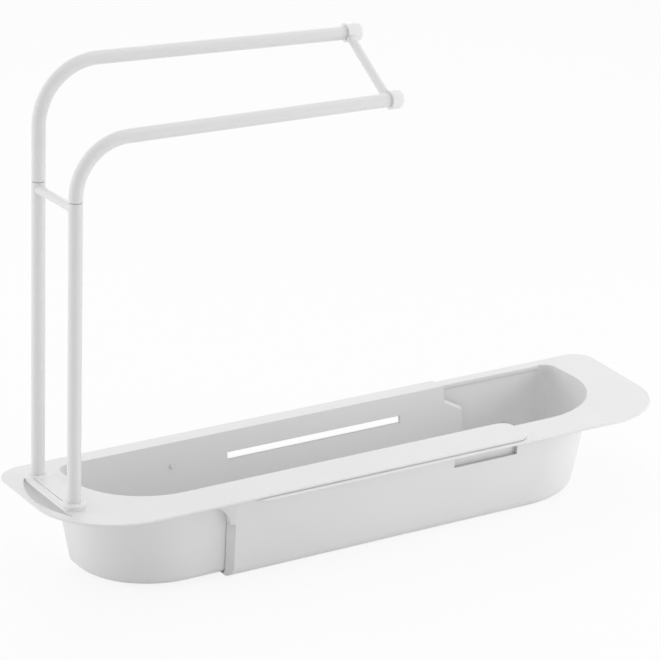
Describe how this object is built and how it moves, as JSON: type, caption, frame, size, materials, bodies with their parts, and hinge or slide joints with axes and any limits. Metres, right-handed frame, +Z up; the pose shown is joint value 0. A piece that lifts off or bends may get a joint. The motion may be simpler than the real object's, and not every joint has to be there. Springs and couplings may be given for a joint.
{
  "type": "kitchen sink caddy",
  "caption": "Extending sink caddy: telescoping open-ended trays with wide rims and a lift-out towel frame of bent tubes standing in a foot at one end.",
  "frame": {"origin": "middle of the outline, on the surface that the outer tray stands on", "axes": "+X along the caddy away from the towel frame's end, +Y from the wide front rim to the narrow rear rim, +Z up"},
  "size_m": [0.4159, 0.115, 0.3075],
  "materials": {
    "tray_plastic": "fine satin moulding",
    "lock_plastic": "plain",
    "tube_coating": "smooth white",
    "spigot_plastic": "plain",
    "cap_plastic": "smooth white"
  },
  "bodies": {
    "inner_tray_body": {"inner_tray": "tray_plastic", "towel_foot": "tray_plastic", "foot_lock_plate": "lock_plastic"},
    "outer_tray_body": {"outer_tray": "tray_plastic"},
    "towel_frame": {"front_post": "tube_coating", "rear_post": "tube_coating", "front_joint_spigot": "spigot_plastic", "rear_joint_spigot": "spigot_plastic", "mid_crossbar": "tube_coating", "front_arm": "tube_coating", "rear_arm": "tube_coating", "end_crossbar": "tube_coating", "front_end_cap": "cap_plastic", "rear_end_cap": "cap_plastic"}
  },
  "joints": [
    {"name": "tray_slide", "type": "slide", "parent": "inner_tray_body", "child": "outer_tray_body", "axis": [1, 0, 0], "range_m": [-0.035, 0.11]},
    {"name": "frame_lift", "type": "slide", "parent": "inner_tray_body", "child": "towel_frame", "axis": [0.0396, 0, 0.9992], "range_m": [0, 0.03]}
  ]
}
